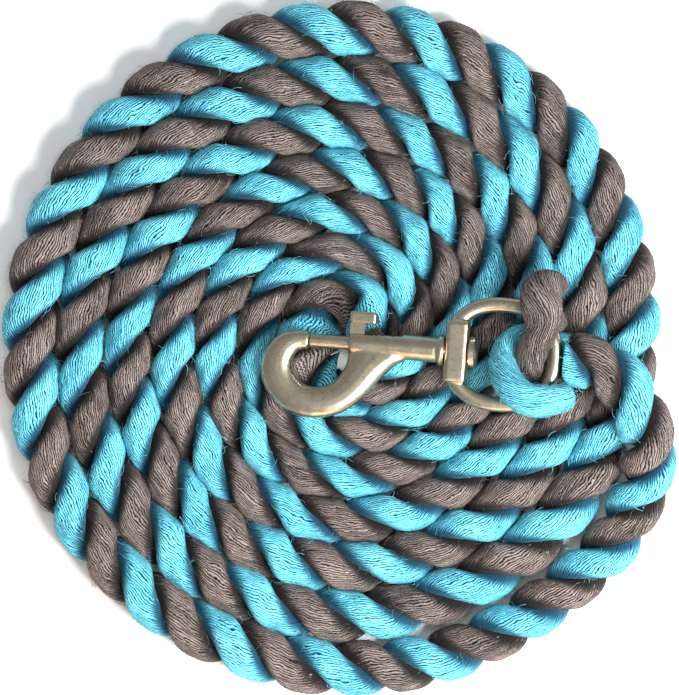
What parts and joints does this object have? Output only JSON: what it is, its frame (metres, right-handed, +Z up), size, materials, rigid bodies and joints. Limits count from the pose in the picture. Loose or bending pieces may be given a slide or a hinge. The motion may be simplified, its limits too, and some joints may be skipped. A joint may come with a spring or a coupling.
{
  "type": "lead rope",
  "caption": "Two-strand twisted cotton lead rope in turquoise and brown, coiled flat, with a swivel bolt snap spliced to its end.",
  "frame": {"origin": "on the floor under the middle of the whole coiled object", "axes": "+Z up from the floor the coil lies on; +X in plan along the snap, from its hook towards its swivel eye; +Y towards the side of the thumb stud"},
  "size_m": [0.2456, 0.2486, 0.0502],
  "materials": {
    "two_colour_rope": "soft twisted cotton, one turquoise and one brown strand",
    "turquoise_cotton": "soft dyed cotton yarn, matt and slightly fuzzy",
    "brown_cotton": "soft dyed cotton yarn with lighter flecks, matt and slightly fuzzy",
    "waxed_twine": "tight waxed twine",
    "satin_nickel": "satin nickel plate with a warm cast",
    "spring_steel": "bright spring wire"
  },
  "bodies": {
    "rope": {"rope_coil": "two_colour_rope", "rope_free_stretch": "two_colour_rope", "rope_inner_end": "two_colour_rope", "end_whipping": "waxed_twine", "eye_strand_brown": "brown_cotton", "eye_strand_turquoise": "turquoise_cotton"},
    "eye": {"swivel_eye": "satin_nickel"},
    "snap": {"snap_body": "satin_nickel", "swivel_post": "satin_nickel", "bolt_spring": "spring_steel"},
    "bolt": {"bolt": "satin_nickel", "thumb_stud": "satin_nickel"}
  },
  "joints": [
    {"name": "eye_lift", "type": "hinge", "parent": "rope", "child": "eye", "pos_m": [0.0754, 0.0014, 0.03535], "axis": [0, 1, 0], "range_deg": [0, 120], "deforming": ["eye_strand_brown", "eye_strand_turquoise"]},
    {"name": "swivel", "type": "hinge", "parent": "eye", "child": "snap", "pos_m": [0.03249, 0.0014, 0.03132], "axis": [0.9956, 0, 0.0935], "range_deg": [-14, 0]},
    {"name": "bolt_slide", "type": "slide", "parent": "snap", "child": "bolt", "axis": [0.9956, 0, 0.0935], "range_m": [0, 0.0133], "stiffness_N_per_m": 600, "springref_m": -0.012, "deforming": ["bolt_spring"]}
  ]
}
